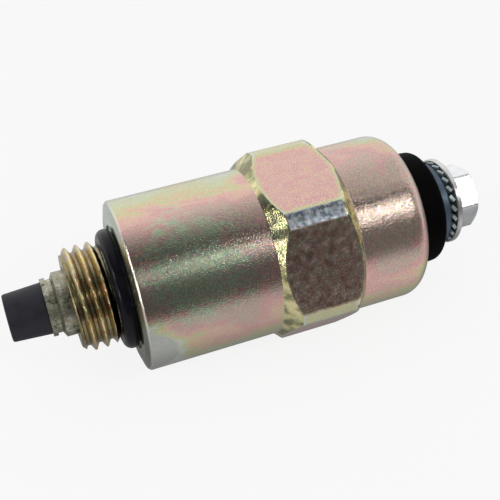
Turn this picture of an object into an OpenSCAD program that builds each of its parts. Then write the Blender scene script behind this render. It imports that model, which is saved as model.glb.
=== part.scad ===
// Fuel shutoff solenoid for an injection pump: it is open while it has current, and a spring shuts it.
// X runs along the axis, with the threaded nose at -X and the terminal at +X. Z is up.
// The origin is the centre of the seat face, which meets the pump. All sizes are in millimetres.

/* [Threaded nose] */
// Length of the nose in front of the seat face
nose_l = 7.0; // [5:0.1:12]
// Outside diameter over the thread crests
thread_d = 13.8; // [12.9:0.01:14]
// Depth of the thread, and of the bevels at its ends
thread_depth = 0.82; // [0.7:0.02:1.1]
// Length of the neck behind the thread, where the sealing ring sits
neck_l = 1.9; // [1.7:0.05:3]
// Diameter of that neck
neck_d = 11.7; // [11.3:0.05:12.1]
// Bore of the nose, which the plunger's stem passes through
nose_bore_d = 9.1; // [8.9:0.05:9.6]

/* [Sealing ring on the nose] */
// Thickness of the ring
ring_thickness = 2.15; // [1.6:0.05:2.2]
// Depth of the recess for the ring in the seat face
ring_recess = 0.3; // [0.1:0.05:0.8]
// Room round the ring in that recess
ring_room = 0.3; // [0.1:0.05:1]

/* [Body] */
// Diameter of the barrel
barrel_d = 22.8; // [22.2:0.1:23.6]
// Length of the barrel, from the seat face to the hexagon's front cone
barrel_l = 18.0; // [16:0.1:30]
// Wall of the barrel, round the chamber for the coil
barrel_wall = 1.7; // [1.2:0.05:2.2]
// Width of the shallow bevel round the seat face
seat_bevel_w = 1.3; // [0.4:0.05:1.6]
// How far that bevel falls back at its edge
seat_bevel = 0.35; // [0.1:0.05:0.5]
// Chamfer between the bevel and the barrel
seat_chamfer = 0.25; // [0.1:0.05:0.5]
// Hexagon across its flats
hex_af = 24.0; // [23.8:0.1:25.4]
// Diameter of the round bar that the hexagon is milled from
hex_bar_d = 26.6; // [26:0.1:27.4]
// Length of the hexagon with both its cones
hex_l = 11.4; // [8:0.1:20]
// Length of the cone from the barrel up to the hexagon's corners
hex_front_cone = 1.9; // [1:0.1:3]
// Length of the cone behind the corners
hex_rear_cone = 1.6; // [0.6:0.05:3]
// How far the shell behind the hexagon stands out from the barrel
rear_step = 0.1; // [-0.3:0.05:0.4]
// Length of that shell, up to where its rim curls in
rear_l = 7.6; // [5:0.1:12]
// Outer radius of the rolled rim
rim_r = 2.5; // [2.2:0.05:3.1]
// Thickness of the wall between the seat face and the coil
front_wall = 4.2; // [3.6:0.1:6]
// Depth behind the seat face of the step that stops the plunger
stop_depth = 1.5; // [1:0.1:2]

/* [Plunger] */
// Diameter of the plunger's stem in the nose
stem_d = 8.5; // [8:0.05:8.7]
// Diameter of the plunger's body in the guide tube
slider_d = 10.0; // [9.8:0.05:10.4]
// How far the plunger's lip stands out of the nose
stem_proud = 3.1; // [2.6:0.1:5]
// Diameter of the lip that is crimped round the rubber tip
lip_d = 7.6; // [7.2:0.05:8]
// Thickness of that lip
lip_t = 0.6; // [0.4:0.05:0.9]
// Diameter of the groove behind the lip
groove_d = 7.0; // [6.6:0.05:7.1]
// Length of the groove
groove_l = 0.65; // [0.3:0.05:1]
// Length of the cone from the groove to the stem
groove_cone = 0.35; // [0.1:0.05:0.6]
// Travel from shut to open
stroke = 1.8; // [1:0.1:2.4]
// Diameter of the spring pocket in the plunger and in the pole core
pocket_d = 5.8; // [5.4:0.1:6.2]
// Thickness of iron between the rubber tip's bulb and the spring pocket
pocket_floor = 16.2; // [10:0.1:18]
// Width of the two fuel slots along the plunger's body
slot_w = 1.2; // [0.8:0.1:2]
// Depth of those slots
slot_depth = 0.6; // [0.3:0.05:0.8]

/* [Rubber tip] */
// How far the tip stands out of the lip
tip_l = 5.0; // [3:0.1:7]
// Diameter of the tip's free end
tip_end_d = 6.2; // [5.4:0.05:6.6]
// Diameter of the tip where it meets the lip
tip_base_d = 6.8; // [6.2:0.05:7]
// Round at the edge of the free end
tip_round = 0.25; // [0.1:0.05:0.8]
// Diameter of the tip's shank inside the lip
shank_d = 3.8; // [3:0.1:4.4]
// Length of that shank
shank_l = 1.7; // [1.65:0.05:2.4]
// Diameter of the bulb that locks the tip in the plunger
bulb_d = 5.2; // [4.8:0.1:5.6]
// Length of the bulb
bulb_l = 1.4; // [1:0.1:2]

/* [Coil] */
// Wall of the brass guide tube
tube_wall = 0.44; // [0.3:0.02:0.5]
// Width of the flange at the tube's rear end
tube_flange_w = 0.5; // [0.3:0.05:0.8]
// Thickness of that flange
tube_flange_t = 0.4; // [0.3:0.05:0.6]
// Thickness of the ring that seals the tube at the front
tube_seal_section = 1.4; // [1:0.05:1.5]
// Wall of the bobbin round the tube
bobbin_wall = 0.85; // [0.6:0.05:0.9]
// Thickness of the bobbin's flanges
bobbin_flange_t = 1.6; // [1.4:0.05:2.2]
// Gap between the wound coil and the chamber's wall
coil_gap = 0.65; // [0.4:0.05:1.2]
// Thickness of the tape round the coil
tape_t = 0.2; // [0.1:0.05:0.4]
// Diameter of the coil's leads
lead_d = 0.7; // [0.4:0.05:0.8]
// Wall of the sleeve on the live lead
sleeve_wall = 0.3; // [0.2:0.05:0.4]
// How far that sleeve stands out behind the rear plate
sleeve_proud = 1.0; // [0.4:0.1:1.2]

/* [Pole core] */
// Length of the pole core in front of the rear plate
pole_l = 10.8; // [8:0.1:14]
// Depth of its spring pocket
pole_pocket_l = 3.0; // [2:0.1:5]
// Thickness of the brass shim on its face
shim_t = 0.2; // [0.1:0.05:0.4]
// Thickness of the rear plate
plate_t = 3.0; // [2:0.1:4]
// Diameter of the core's spigot in the rear plate
spigot_d = 7.0; // [6:0.1:8]
// Distance from the rear plate to the core's sealing ring
pole_seal_at = 3.4; // [2.4:0.1:5]
// Thickness of that ring before it is squeezed
pole_seal_section = 1.12; // [0.9:0.02:1.2]
// Thickness of the sealing ring at the rear plate's edge
plate_seal_section = 1.3; // [1:0.05:1.4]

/* [Return spring] */
// Thickness of the spring's wire
wire_d = 0.6; // [0.4:0.05:0.8]
// Mean diameter of its coils
spring_d = 4.6; // [4.2:0.1:4.8]
// Number of its working coils
working_coils = 7; // [4:1:10]

/* [Insulator] */
// Length of the insulator's flange inside the shell, in front of the rim's curl
cap_flange_l = 3.0; // [2.6:0.1:4]
// Diameter of the insulator's boss where it leaves the rim
boss_d = 16.3; // [15.9:0.1:16.6]
// Diameter of the boss at its end
boss_end_d = 15.8; // [14:0.1:15.9]
// How far the boss stands out of the rim
boss_proud = 4.1; // [2:0.1:6]
// Round at the boss's edge
boss_round = 0.8; // [0.3:0.05:1.5]
// Depth of the cavity for the stud's head
cavity_l = 3.4; // [3.2:0.1:3.8]
// Diameter of the pad that the terminal tag lies on
pad_d = 9.2; // [8.8:0.1:9.4]
// Height of that pad
pad_h = 0.9; // [0.6:0.1:1.2]

/* [Terminal] */
// Outside diameter of the stud's thread
stud_d = 4.9; // [4.6:0.05:5]
// Chamfer at the end of the stud
stud_chamfer = 0.4; // [0.2:0.05:0.6]
// Diameter of the stud's head
stud_head_d = 7.2; // [6.4:0.1:8]
// Thickness of the stud's head
stud_head_t = 1.3; // [0.8:0.1:1.5]
// How far the stud stands out of the nut
stud_proud = 0.6; // [0.3:0.1:3]
// Thickness of the ring that seals the stud
stud_seal_section = 1.2; // [1:0.05:1.25]
// Thickness of the terminal tag
tag_t = 0.5; // [0.4:0.05:0.6]
// Wall of the tag's barrel, which is crimped on the live lead
tag_wall = 0.25; // [0.15:0.05:0.4]
// Length of that barrel
tag_barrel_l = 0.9; // [0.5:0.1:1.2]
// How far the first washer's edge stays inside the last washer's
base_washer_step = 0.3; // [0.1:0.05:0.8]
// Thickness of the first washer
base_washer_t = 1.7; // [0.8:0.05:2.2]
// Broken edge of the plain washers
washer_edge = 0.14; // [0.05:0.01:0.2]
// How far the toothed washer's teeth stay inside the last washer's edge
tooth_step = 0.2; // [0.1:0.05:0.6]
// Height of the toothed washer over its twisted teeth
toothed_washer_h = 0.9; // [0.7:0.05:1]
// Thickness of the sheet that it is cut from
toothed_sheet_t = 0.45; // [0.3:0.05:0.6]
// Spacing of its teeth, along the circle of their tips
tooth_pitch = 1.42; // [1.3:0.02:1.6]
// Length of its teeth
tooth_l = 1.5; // [1:0.1:2]
// Share of the washer's rim that the teeth fill
tooth_share = 0.66; // [0.56:0.02:0.76]
// Diameter of the last washer
outer_washer_d = 12.2; // [10:0.1:13]
// Thickness of the last washer
outer_washer_t = 0.75; // [0.5:0.05:1.6]
// Terminal nut across its flats
nut_af = 8.0; // [7.5:0.1:9]
// Height of the nut
nut_h = 3.7; // [3:0.1:5]
// How far the chamfer at the nut's corners runs into its flats
nut_bevel = 0.1; // [0.05:0.05:0.3]
// Angle of one of the nut's corners, from +Y towards +Z
nut_turn = 35; // [0:1:60]

/* [Hidden] */
$fn = 96;

// Length that a cut runs past the face it opens
past = 1;
// Radial clearance of the plunger in its guide tube
running = 0.06;
// Radial clearance of a piece that is pushed into a bore and stays there
push_fit = 0.05;
// How far a sealing ring is kept from each wall that squeezes it
ring_gap = 0.02;
// Width of a ring's groove, for each millimetre of the ring's thickness
groove_ratio = 1.3;
// Clearance round a bare lead
lead_gap = 0.1;
// Clearance of the stud in the insulator and of the washers on the stud
stud_gap = 0.15;
// How far the terminal tag's ring stays inside the edge of its pad, and its barrel outside
pad_margin = 0.3;
// Bend radius of each lead's centreline
live_bend_r = 0.8;
earth_bend_r = 0.55;
// Closed coils at each end of the return spring
closed_coils = 1.25;

// Places along the axis, from the nose to the rear
x_nose = -nose_l;
x_lip = x_nose - stem_proud;
x_tip = x_lip - tip_l;
x_neck = -neck_l;
x_stop = stop_depth;
x_front = front_wall;
x_hex = barrel_l;
x_hex_end = x_hex + hex_l;
x_curl = x_hex_end + rear_l;
x_rim = x_curl + rim_r;
x_cap = x_curl - cap_flange_l;
x_plate = x_cap - plate_t;
x_pole = x_plate - pole_l;
x_slider_end = x_pole - shim_t - stroke;
x_pocket = x_lip + shank_l + bulb_l + pocket_floor;
x_pole_pocket = x_pole + pole_pocket_l;
x_boss_end = x_rim + boss_proud;
x_cavity = x_cap + cavity_l;
x_pad = x_cavity - pad_h;
x_base_washer = x_boss_end;
x_toothed = x_base_washer + base_washer_t;
x_outer_washer = x_toothed + toothed_washer_h;
x_nut = x_outer_washer + outer_washer_t;
x_nut_end = x_nut + nut_h;
x_stud_end = x_nut_end + stud_proud;

// Radii that follow from what a piece fits
rear_r = barrel_d / 2 + rear_step;
chamber_r = barrel_d / 2 - barrel_wall;
ring_recess_r = neck_d / 2 + ring_thickness + ring_room;
rim_in_r = rim_r - (rear_r - chamber_r);
curl_r = rear_r - rim_r;
tube_in_r = slider_d / 2 + running;
tube_out_r = tube_in_r + tube_wall;
tube_flange_r = tube_out_r + tube_flange_w;
socket_r = tube_out_r + push_fit;
seal_bore_r = tube_out_r + tube_seal_section;
bobbin_in_r = tube_out_r + push_fit;
core_r = bobbin_in_r + bobbin_wall;
flange_r = chamber_r - 2 * push_fit;
tape_r = chamber_r - coil_gap;
winding_r = tape_r - tape_t;
stud_hole_r = stud_d / 2 + stud_gap;
stud_seal_bore_r = stud_d / 2 + stud_seal_section;
base_washer_r = outer_washer_d / 2 - base_washer_step;
tooth_tip_r = outer_washer_d / 2 - tooth_step;
tooth_count = round(2 * PI * tooth_tip_r / tooth_pitch);
x_stud_seal = x_pad + stud_seal_section;
rebate_r = chamber_r - plate_seal_section;

// Ends of the winding, and the radius that both its leads stay outside
x_coil = x_front + bobbin_flange_t;
x_coil_end = x_plate - bobbin_flange_t;
leads_from_r = max(core_r, tube_flange_r);

// The live lead: its hole, its distance from the axis, its sleeve, and the cavity that it ends in
lead_hole_r = lead_d / 2 + lead_gap;
live_lead_h = leads_from_r + push_fit + lead_hole_r;
sleeve_r = lead_d / 2 + sleeve_wall;
cavity_r = live_lead_h + sleeve_r + lead_gap;
x_tag = x_pad - tag_t;
x_tag_mid = x_tag + tag_t / 2;
tag_ring_r = pad_d / 2 - pad_margin;
tag_barrel_r = lead_d / 2 + tag_wall;
tag_barrel_from = pad_d / 2 + pad_margin;
tag_barrel_to = tag_barrel_from + tag_barrel_l;

// The earth lead: where it leaves the winding, and where it lies against the rear plate
earth_lead_h = winding_r - lead_hole_r;
earth_end_r = leads_from_r + 2 * lead_gap;
x_earth = x_plate - lead_d / 2;

// Middle of the spring's wire at each end
spring_from = x_pocket + wire_d / 2;
spring_to = x_pole_pocket - wire_d / 2;

// Turns a half section, drawn as radius and place along the axis, round the X axis
module turned() {
  rotate([90, 0, 90]) rotate_extrude() children();
}

// Stands a shape that is drawn along Z along the X axis, from the given place
module along_x(x = 0) {
  translate([x, 0, 0]) rotate([90, 0, 90]) children();
}

// Half section of a plain ring
module band(r_in, r_out, x0, x1) {
  translate([r_in, x0]) square([r_out - r_in, x1 - x0]);
}

// Half section of a shaft end whose edge is rounded
module rounded_end(r, x0, x1, edge) {
  square_from = x1 - edge;
  translate([0, x0]) square([r, square_from - x0]);
  translate([0, x0]) square([r - edge, x1 - x0]);
  translate([r - edge, square_from]) intersection() {
    circle(edge);
    square(edge);
  }
}

// Half section of a round sealing ring that lies between two radii
module seal_ring(r_in, r_out, x0, section) {
  r = (r_out - r_in) / 2 - ring_gap;
  translate([(r_in + r_out) / 2, x0 + section / 2]) circle(min(r, section / 2 - ring_gap));
}

// Outer half section of the nose: end face, lead-in, thread cylinder and neck
module nose_section() {
  polygon([
    [0, x_nose],
    [thread_d / 2 - thread_depth, x_nose],
    [thread_d / 2, x_nose + thread_depth],
    [thread_d / 2, x_neck - thread_depth],
    [neck_d / 2, x_neck],
    [neck_d / 2, ring_recess],
    [0, ring_recess]
  ]);
}

// Outer half section of the barrel
module barrel_section() {
  r = barrel_d / 2;
  polygon([
    [0, 0],
    [r - seat_chamfer - seat_bevel_w, 0],
    [r - seat_chamfer, seat_bevel],
    [r, seat_bevel + seat_chamfer],
    [r, x_hex + past],
    [0, x_hex + past]
  ]);
}

// Half section of the round bar that the hexagon is milled from, with its two cones
module hexagon_section() {
  r = hex_bar_d / 2;
  polygon([
    [0, x_hex],
    [barrel_d / 2, x_hex],
    [r, x_hex + hex_front_cone],
    [r, x_hex_end - hex_rear_cone],
    [rear_r, x_hex_end],
    [0, x_hex_end]
  ]);
}

// The shell behind the hexagon, with its edge curled in over the insulator
module rear_section() {
  rounded_end(rear_r, x_hex_end - past, x_rim, rim_r);
}

// The space inside the housing, from the nose to the rim
module inside_section() {
  band(0, nose_bore_d / 2, x_nose - past, x_stop + past);
  band(0, socket_r, x_stop, x_front);
  band(0, seal_bore_r, x_front - tube_seal_section, x_front + past);
  rounded_end(chamber_r, x_front, x_curl + rim_in_r, rim_in_r);
  band(0, boss_d / 2 + push_fit, x_curl, x_rim + past);
}

// One turned piece of steel: nose, barrel, hexagon and shell
module housing() {
  color([0.62, 0.56, 0.44]) difference() {
    union() {
      turned() nose_section();
      turned() barrel_section();
      intersection() {
        turned() hexagon_section();
        along_x(x_hex) cylinder(d = hex_af / cos(30), h = hex_l, $fn = 6);
      }
      turned() rear_section();
    }
    turned() band(neck_d / 2, ring_recess_r, -past, ring_recess);
    turned() inside_section();
  }
}

// Rubber ring that seals the nose against the pump
module mounting_ring() {
  color([0.08, 0.08, 0.09]) turned()
    translate([(neck_d + ring_thickness) / 2, ring_recess - ring_thickness / 2]) circle(d = ring_thickness);
}

// The rubber tip's section inside the plunger: shank and bulb, shared by the tip and its pocket
module tip_root_section() {
  x_bulb = x_lip + shank_l;
  bevel = (bulb_d - shank_d) / 4;
  polygon([
    [0, x_lip],
    [shank_d / 2, x_lip],
    [shank_d / 2, x_bulb],
    [bulb_d / 2, x_bulb],
    [bulb_d / 2, x_bulb + bulb_l - bevel],
    [bulb_d / 2 - bevel, x_bulb + bulb_l],
    [0, x_bulb + bulb_l]
  ]);
}

// Iron plunger: lip, groove, stem, and a wider body that slides in the guide tube
module plunger() {
  x_groove = x_lip + lip_t;
  x_cone = x_groove + groove_l;
  color([0.55, 0.56, 0.5]) difference() {
    turned() difference() {
      polygon([
        [0, x_lip],
        [lip_d / 2, x_lip],
        [lip_d / 2, x_groove],
        [groove_d / 2, x_groove],
        [groove_d / 2, x_cone],
        [stem_d / 2, x_cone + groove_cone],
        [stem_d / 2, x_stop],
        [slider_d / 2, x_stop],
        [slider_d / 2, x_slider_end],
        [0, x_slider_end]
      ]);
      tip_root_section();
      band(0, pocket_d / 2, x_pocket, x_slider_end + past);
    }
    for (side = [0, 180])
      rotate([side, 0, 0]) translate([x_stop - past, slider_d / 2 - slot_depth, -slot_w / 2])
        cube([x_slider_end - x_stop + 2 * past, slot_depth + past, slot_w]);
  }
}

// Rubber valve tip: a slightly tapered plug that shuts the fuel port
module valve_tip() {
  color([0.1, 0.1, 0.12]) turned() {
    difference() {
      polygon([
        [0, x_tip],
        [tip_end_d / 2, x_tip],
        [tip_base_d / 2, x_lip],
        [0, x_lip]
      ]);
      translate([tip_end_d / 2 - tip_round, x_tip]) difference() {
        translate([0, -past]) square([tip_round + past, tip_round + past]);
        translate([0, tip_round]) circle(tip_round);
      }
    }
    tip_root_section();
  }
}

// Place along the spring after so many turns: closed ends, and even working coils between them
function all_coils() = working_coils + 2 * closed_coils;
function working_pitch() = (spring_to - spring_from - 2 * closed_coils * wire_d) / working_coils;
function spring_x(turn) =
  turn < closed_coils ? spring_from + turn * wire_d
  : turn > all_coils() - closed_coils ? spring_to - (all_coils() - turn) * wire_d
  : spring_from + closed_coils * wire_d + (turn - closed_coils) * working_pitch();

// One point on the wire's skin
function wire_point(turn, angle, wire_r) =
  let (r = spring_d / 2 + wire_r * cos(angle), at = turn * 360)
  [spring_x(turn) + wire_r * sin(angle), r * cos(at), r * sin(at)];

// Coil spring that pushes the plunger shut
module return_spring() {
  sides = 8;
  steps = 16;
  rings = round(all_coils() * steps);
  wire_r = wire_d / 2 - ring_gap / 2;
  points = [
    for (i = [0 : rings], j = [0 : sides - 1])
      wire_point(i * all_coils() / rings, j * 360 / sides, wire_r)
  ];
  walls = [
    for (i = [0 : rings - 1], j = [0 : sides - 1])
      let (k = (j + 1) % sides)
      [i * sides + j, i * sides + k, (i + 1) * sides + k, (i + 1) * sides + j]
  ];
  first_end = [for (j = [sides - 1 : -1 : 0]) j];
  last_end = [for (j = [0 : sides - 1]) rings * sides + j];
  color([0.7, 0.7, 0.72]) polyhedron(points, concat([first_end, last_end], walls), convexity = 10);
}

// Thin brass ring on the pole's face, which keeps the plunger from sticking to it
module air_gap_shim() {
  color([0.78, 0.62, 0.3]) turned()
    band(pocket_d / 2, slider_d / 2 - push_fit, x_pole - shim_t, x_pole);
}

// Brass tube that guides the plunger and keeps the fuel away from the coil
module guide_tube() {
  color([0.78, 0.62, 0.3]) turned() {
    band(tube_in_r, tube_out_r, x_stop, x_plate);
    band(tube_in_r, tube_flange_r, x_plate - tube_flange_t, x_plate);
  }
}

// Ring that seals the tube in the front wall
module tube_seal() {
  color([0.08, 0.08, 0.09]) turned()
    seal_ring(tube_out_r, seal_bore_r, x_front - tube_seal_section, tube_seal_section);
}

// Fixed iron core, riveted in the rear plate
module pole_core() {
  groove_from = x_plate - pole_seal_at - pole_seal_section;
  groove_w = pole_seal_section * groove_ratio;
  r = tube_in_r - push_fit;
  color([0.5, 0.51, 0.53]) turned() difference() {
    union() {
      band(0, r, x_pole, x_plate);
      band(0, spigot_d / 2, x_plate, x_cap);
    }
    band(0, pocket_d / 2, x_pole - past, x_pole_pocket);
    band(tube_in_r - pole_seal_section, r + past, groove_from, groove_from + groove_w);
  }
}

// Ring that seals the core in the tube
module pole_seal() {
  groove_from = x_plate - pole_seal_at - pole_seal_section;
  color([0.08, 0.08, 0.09]) turned()
    seal_ring(tube_in_r - pole_seal_section, tube_in_r, groove_from, pole_seal_section * groove_ratio);
}

// Plastic spool for the coil
module bobbin() {
  color([0.85, 0.8, 0.68]) difference() {
    turned() difference() {
      union() {
        band(bobbin_in_r, core_r, x_front, x_plate);
        band(bobbin_in_r, flange_r, x_front, x_coil);
        band(bobbin_in_r, flange_r, x_coil_end, x_plate);
      }
      band(0, tube_flange_r + push_fit, x_plate - tube_flange_t, x_plate + past);
    }
    translate([0, 0, live_lead_h]) along_x(x_coil_end - past)
      cylinder(r = lead_hole_r, h = bobbin_flange_t + 2 * past);
    earth_slot();
  }
}

// Slot for the earth lead: out of the winding and along the back of the rear flange
module earth_slot() {
  w = 2 * lead_hole_r;
  x_floor = x_earth - lead_hole_r;
  translate([x_coil_end - past, -w / 2, -flange_r - past])
    cube([bobbin_flange_t + 2 * past, w, flange_r + past - winding_r + w]);
  translate([x_floor, -w / 2, -flange_r - past])
    cube([x_plate - x_floor + past, w, flange_r + past - core_r]);
}

// Copper wire wound on the spool
module coil_winding() {
  color([0.72, 0.38, 0.2]) turned() band(core_r, winding_r, x_coil, x_coil_end);
}

// Insulating tape round the winding
module coil_tape() {
  color([0.8, 0.7, 0.2]) turned() band(winding_r, tape_r, x_coil, x_coil_end);
}

// A quarter bend of wire that starts along +X and turns towards the axis
module quarter_bend(x, h, bend_r, wire_r) {
  translate([x, 0, h - bend_r]) rotate([90, 0, 0]) rotate_extrude(angle = 90)
    translate([bend_r, 0]) circle(wire_r, $fn = 32);
}

// Lead from the winding to the terminal tag
module live_lead() {
  r = lead_d / 2;
  x_bend = x_tag_mid - live_bend_r;
  color([0.75, 0.42, 0.24]) {
    translate([0, 0, live_lead_h]) along_x(x_coil_end) cylinder(r = r, h = x_bend - x_coil_end);
    quarter_bend(x_bend, live_lead_h, live_bend_r, r);
    translate([x_tag_mid, 0, tag_barrel_from]) cylinder(r = r, h = live_lead_h - live_bend_r - tag_barrel_from);
  }
}

// Insulating sleeve round the live lead where it passes through the rear plate
module lead_sleeve() {
  l = plate_t + sleeve_proud;
  color([0.75, 0.1, 0.08]) translate([0, 0, live_lead_h]) along_x(x_plate) difference() {
    cylinder(r = sleeve_r, h = l);
    translate([0, 0, -past]) cylinder(r = lead_d / 2, h = l + 2 * past);
  }
}

// Lead from the winding to the rear plate, which is earthed through the housing
module earth_lead() {
  r = lead_d / 2;
  x_bend = x_earth - earth_bend_r;
  run = earth_lead_h - earth_bend_r - earth_end_r;
  color([0.75, 0.42, 0.24]) mirror([0, 0, 1]) {
    translate([0, 0, earth_lead_h]) along_x(x_coil_end) cylinder(r = r, h = x_bend - x_coil_end);
    quarter_bend(x_bend, earth_lead_h, earth_bend_r, r);
    translate([x_earth, 0, earth_end_r]) cylinder(r = r, h = run);
  }
}

// Steel plate that closes the magnetic circuit behind the coil
module rear_plate() {
  color([0.5, 0.51, 0.53]) difference() {
    turned() difference() {
      band(spigot_d / 2, chamber_r - push_fit, x_plate, x_cap);
      band(rebate_r, chamber_r + past, x_cap - plate_seal_section, x_cap + past);
    }
    translate([0, 0, live_lead_h]) along_x(x_plate - past)
      cylinder(r = sleeve_r + push_fit, h = plate_t + 2 * past);
  }
}

// Ring that seals the rear plate's edge in the shell
module plate_seal() {
  color([0.08, 0.08, 0.09]) turned()
    seal_ring(rebate_r, chamber_r, x_cap - plate_seal_section, plate_seal_section);
}

// Black moulded insulator: flange under the rim, and a boss that carries the terminal
module insulator_cap() {
  r_fit = chamber_r - push_fit;
  x_flange_end = x_curl + rim_in_r;
  color([0.05, 0.05, 0.06]) turned() difference() {
    union() {
      rounded_end(r_fit, x_cap, x_flange_end, rim_in_r);
      intersection() {
        band(0, boss_d / 2, x_flange_end, x_boss_end);
        polygon([
          [0, x_flange_end],
          [boss_d / 2, x_flange_end],
          [boss_d / 2, x_rim],
          [boss_end_d / 2, x_boss_end - boss_round],
          [boss_end_d / 2, x_boss_end],
          [0, x_boss_end]
        ]);
        rounded_boss();
      }
    }
    band(pad_d / 2, cavity_r, x_cap - past, x_cavity);
    band(0, pad_d / 2, x_cap - past, x_pad);
    band(0, stud_seal_bore_r, x_pad - past, x_stud_seal);
    band(0, stud_hole_r, x_cap, x_boss_end + past);
  }
}

// Limits the boss to a rounded edge at its end, and leaves its side free
module rounded_boss() {
  r = boss_end_d / 2;
  band(0, boss_d / 2, x_curl, x_boss_end - boss_round);
  band(0, r - boss_round, x_curl, x_boss_end);
  translate([r - boss_round, x_boss_end - boss_round]) circle(boss_round);
}

// Steel stud that carries the current out through the insulator
module terminal_stud() {
  r = stud_d / 2;
  x_chamfer = x_stud_end - stud_chamfer;
  color([0.75, 0.76, 0.78]) turned() {
    band(0, stud_head_d / 2, x_tag - stud_head_t, x_tag);
    polygon([[0, x_tag], [r, x_tag], [r, x_chamfer], [r - stud_chamfer, x_stud_end], [0, x_stud_end]]);
  }
}

// Tag that is clamped under the stud's head, with a barrel for the live lead
module terminal_tag() {
  tongue_w = 2 * tag_barrel_r;
  color([0.8, 0.66, 0.36]) difference() {
    union() {
      along_x(x_tag) cylinder(r = tag_ring_r, h = tag_t);
      translate([x_tag, -tongue_w / 2, 0]) cube([tag_t, tongue_w, tag_barrel_from]);
      translate([x_tag_mid, 0, tag_barrel_from]) cylinder(r = tag_barrel_r, h = tag_barrel_to - tag_barrel_from);
    }
    along_x(x_tag - past) cylinder(d = stud_d, h = tag_t + 2 * past);
    translate([x_tag_mid, 0, tag_barrel_from]) cylinder(d = lead_d, h = tag_barrel_to);
  }
}

// Ring that seals the stud in the insulator
module stud_seal() {
  color([0.08, 0.08, 0.09]) turned()
    seal_ring(stud_d / 2, stud_seal_bore_r, x_pad, stud_seal_section);
}

// A flat washer with lightly broken edges
module flat_washer(r, x, t) {
  turned() polygon([
    [stud_hole_r, x],
    [r - washer_edge, x],
    [r, x + washer_edge],
    [r, x + t - washer_edge],
    [r - washer_edge, x + t],
    [stud_hole_r, x + t]
  ]);
}

// First washer, on the insulator's boss
module base_washer() {
  color([0.35, 0.4, 0.46]) flat_washer(base_washer_r, x_base_washer, base_washer_t);
}

// Toothed lock washer, whose teeth are twisted until their edges reach its full height
module toothed_washer() {
  root_r = tooth_tip_r - tooth_l;
  x_mid = x_toothed + toothed_washer_h / 2;
  tooth_w = tooth_share * 2 * PI * tooth_tip_r / tooth_count;
  diagonal = norm([tooth_w, toothed_sheet_t]);
  twist = asin(toothed_washer_h / diagonal) - atan(toothed_sheet_t / tooth_w);
  color([0.5, 0.55, 0.6]) difference() {
    union() {
      along_x(x_mid - toothed_sheet_t / 2) cylinder(r = root_r, h = toothed_sheet_t);
      intersection() {
        for (i = [0 : tooth_count - 1])
          translate([x_mid, 0, 0]) rotate([i * 360 / tooth_count, 0, 0]) rotate([0, 0, twist])
            translate([-toothed_sheet_t / 2, -tooth_w / 2, root_r - toothed_sheet_t])
              cube([toothed_sheet_t, tooth_w, tooth_tip_r]);
        along_x(x_toothed) cylinder(r = tooth_tip_r, h = toothed_washer_h);
      }
    }
    along_x(x_toothed - past) cylinder(r = stud_hole_r, h = toothed_washer_h + 2 * past);
  }
}

// Last washer, under the nut
module outer_washer() {
  color([0.78, 0.78, 0.76]) flat_washer(outer_washer_d / 2, x_outer_washer, outer_washer_t);
}

// Terminal nut with chamfered corners
module terminal_nut() {
  corner_r = nut_af / 2 / cos(30);
  face_r = nut_af / 2 - nut_bevel;
  drop = (corner_r - face_r) * tan(30);
  color([0.9, 0.9, 0.9]) difference() {
    intersection() {
      along_x(x_nut) rotate([0, 0, nut_turn]) cylinder(r = corner_r, h = nut_h, $fn = 6);
      turned() polygon([
        [0, x_nut],
        [face_r, x_nut],
        [corner_r, x_nut + drop],
        [corner_r, x_nut_end - drop],
        [face_r, x_nut_end],
        [0, x_nut_end]
      ]);
    }
    along_x(x_nut - past) cylinder(r = stud_d / 2 + push_fit, h = nut_h + 2 * past);
  }
}

housing();
mounting_ring();
plunger();
valve_tip();
return_spring();
air_gap_shim();
guide_tube();
tube_seal();
pole_core();
pole_seal();
bobbin();
coil_winding();
coil_tape();
live_lead();
lead_sleeve();
earth_lead();
rear_plate();
plate_seal();
insulator_cap();
terminal_stud();
terminal_tag();
stud_seal();
base_washer();
toothed_washer();
outer_washer();
terminal_nut();
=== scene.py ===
"""Looks of the fuel shutoff solenoid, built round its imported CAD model.

X runs along the axis from the nose to the terminal, and Z is up. Blender works in metres, but the sizes
here are millimetres, because they are small: MM turns one into the other. A round piece is a chain of
(place along X, radius) points, laid round the X axis.
"""
import math

import bmesh
import bpy
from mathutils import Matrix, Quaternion, Vector


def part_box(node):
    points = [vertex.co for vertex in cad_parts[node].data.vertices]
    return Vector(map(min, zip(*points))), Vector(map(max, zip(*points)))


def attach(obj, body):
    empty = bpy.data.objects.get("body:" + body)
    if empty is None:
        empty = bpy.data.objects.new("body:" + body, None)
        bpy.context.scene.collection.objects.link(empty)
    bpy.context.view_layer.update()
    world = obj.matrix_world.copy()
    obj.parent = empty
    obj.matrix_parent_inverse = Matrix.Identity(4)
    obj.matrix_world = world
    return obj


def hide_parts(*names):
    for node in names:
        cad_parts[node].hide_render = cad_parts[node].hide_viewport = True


MM = 0.001

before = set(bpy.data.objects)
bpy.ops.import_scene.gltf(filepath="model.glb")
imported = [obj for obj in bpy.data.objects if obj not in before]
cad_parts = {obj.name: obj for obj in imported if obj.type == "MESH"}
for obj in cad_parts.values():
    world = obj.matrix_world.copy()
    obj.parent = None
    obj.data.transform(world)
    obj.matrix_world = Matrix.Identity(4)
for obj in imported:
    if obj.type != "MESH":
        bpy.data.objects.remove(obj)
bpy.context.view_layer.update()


def reach(node):
    """Where a round CAD node starts and ends along X, and its largest radius, all in mm."""
    low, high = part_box(node)
    return low.x / MM, high.x / MM, high.y / MM


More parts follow.
